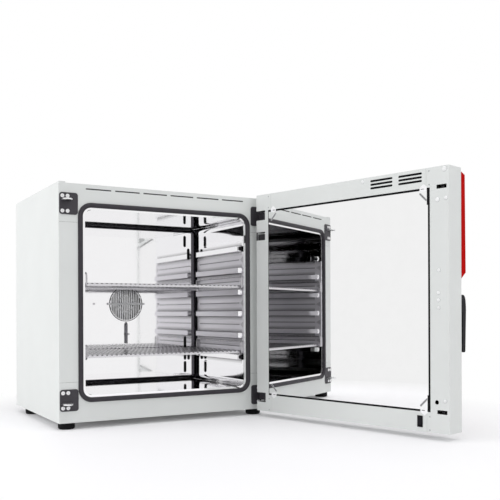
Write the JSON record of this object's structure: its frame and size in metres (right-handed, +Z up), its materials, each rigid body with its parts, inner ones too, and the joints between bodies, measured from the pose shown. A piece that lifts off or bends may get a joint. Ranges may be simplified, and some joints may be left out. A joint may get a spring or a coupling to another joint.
{
  "type": "laboratory incubator",
  "caption": "Bench-top laboratory incubator with an open swing door, mirror-lined door, sliding perforated shelves, wall beads, circulating fan, side latch and red control console.",
  "frame": {"origin": "on the floor under the middle of the cabinet casing, the door and rear fittings left out", "axes": "+X to the right as seen from the front, +Y to the rear, +Z up; the door opens towards -Y on hinges at the right"},
  "size_m": [0.9296, 1.2863, 0.735],
  "materials": {
    "powder_coat": "satin",
    "polished_steel": "polished",
    "mirror_steel": "polished",
    "bright_steel": "satin",
    "motor_metal": "satin",
    "seal_rubber": "satin",
    "black_rubber": "matte",
    "mineral_wool": "matte",
    "dark_plate": "satin",
    "dark_plastic": "matte",
    "grey_plastic": "matte",
    "pale_plastic": "matte",
    "red_plastic": "satin",
    "dark_glass": "gloss"
  },
  "bodies": {
    "cabinet": {"side_panel_left": "powder_coat", "side_panel_right": "powder_coat", "top_panel": "powder_coat", "base_pan": "powder_coat", "rear_panel": "powder_coat", "front_frame_top": "powder_coat", "front_frame_bottom": "powder_coat", "front_stile_left": "powder_coat", "front_stile_right": "powder_coat", "chamber_wall_left": "polished_steel", "chamber_wall_right": "polished_steel", "chamber_floor": "polished_steel", "chamber_ceiling": "polished_steel", "chamber_back": "polished_steel", "chamber_rim": "polished_steel", "air_baffle": "polished_steel", "door_seal": "seal_rubber", "fan_grille": "bright_steel", "baffle_screws": "bright_steel", "fan_motor": "motor_metal", "heater_coil": "bright_steel", "temperature_probe": "bright_steel", "cabinet_insulation": "mineral_wool", "strike_plates": "dark_plate", "plate_screws": "bright_steel", "hinge_plates": "dark_plate", "hinge_pins": "bright_steel", "cable_guide": "dark_plastic", "feet": "black_rubber", "power_inlet": "dark_plastic", "power_module": "grey_plastic", "exhaust_duct": "motor_metal"},
    "door": {"door_shell": "powder_coat", "door_stile_hinge": "powder_coat", "door_stile_latch": "powder_coat", "door_rail_top": "powder_coat", "door_rail_bottom": "powder_coat", "mirror_panel": "mirror_steel", "panel_gasket": "black_rubber", "corner_clips": "pale_plastic", "door_insulation": "mineral_wool", "plug_caps": "pale_plastic", "hinge_sockets": "dark_plastic", "latch_guides": "dark_plastic", "control_cover": "red_plastic", "display_glass": "dark_glass", "switch_housing": "dark_plastic", "handle_base": "dark_plastic"},
    "handle": {"handle_lever": "dark_plastic"},
    "latch": {"latch_bar": "bright_steel"},
    "switch": {"rocker": "dark_plastic"},
    "fan": {"fan_impeller": "motor_metal"},
    "damper": {"exhaust_flap": "motor_metal"},
    "upper_shelf": {"shelf_upper": "bright_steel", "shelf_upper_rails": "bright_steel"},
    "lower_shelf": {"shelf_lower": "bright_steel", "shelf_lower_rails": "bright_steel"},
    "up_button": {"button_up": "grey_plastic"},
    "down_button": {"button_down": "grey_plastic"},
    "set_button": {"button_set": "grey_plastic"}
  },
  "joints": [
    {"name": "door_hinge", "type": "hinge", "parent": "cabinet", "child": "door", "pos_m": [0.3395, -0.3044, 0.3775], "axis": [0, 0, 1], "range_deg": [-104.37, 20.63]},
    {"name": "handle_pull", "type": "hinge", "parent": "door", "child": "handle", "pos_m": [0.55229, -0.9472, 0.378], "axis": [0.2482, -0.9687, 0], "range_deg": [0, 15.5], "stiffness_Nm_per_rad": 1.5, "springref_deg": -20.05},
    {"name": "latch_slide", "type": "slide", "parent": "door", "child": "latch", "axis": [0, 0, -1], "range_m": [0, 0.0101]},
    {"name": "rocker_tilt", "type": "hinge", "parent": "door", "child": "switch", "pos_m": [0.46272, -0.89778, 0.0475], "axis": [0.2482, -0.9687, 0], "range_deg": [0, 18]},
    {"name": "fan_spin", "type": "hinge", "parent": "cabinet", "child": "fan", "pos_m": [-0.0035, 0.12, 0.378], "axis": [0, 1, 0], "continuous": true},
    {"name": "damper_turn", "type": "hinge", "parent": "cabinet", "child": "damper", "pos_m": [-0.15, 0.2785, 0.58], "axis": [0, 0, 1], "range_deg": [0, 90]},
    {"name": "upper_shelf_slide", "type": "slide", "parent": "cabinet", "child": "upper_shelf", "axis": [0, -1, 0], "range_m": [0, 0.3]},
    {"name": "lower_shelf_slide", "type": "slide", "parent": "cabinet", "child": "lower_shelf", "axis": [0, -1, 0], "range_m": [0, 0.3]},
    {"name": "up_press", "type": "slide", "parent": "door", "child": "up_button", "axis": [-0.9686, -0.2482, -0.0131], "range_m": [0, 0.0012], "stiffness_N_per_m": 300, "springref_m": -0.002},
    {"name": "down_press", "type": "slide", "parent": "door", "child": "down_button", "axis": [-0.9686, -0.2482, -0.0131], "range_m": [0, 0.0012], "stiffness_N_per_m": 300, "springref_m": -0.002},
    {"name": "set_press", "type": "slide", "parent": "door", "child": "set_button", "axis": [-0.9686, -0.2482, -0.0131], "range_m": [0, 0.0012], "stiffness_N_per_m": 300, "springref_m": -0.002}
  ],
  "couplings": [
    {"joint": "latch_slide", "follows": "handle_pull", "m_per_rad": 0.037}
  ]
}
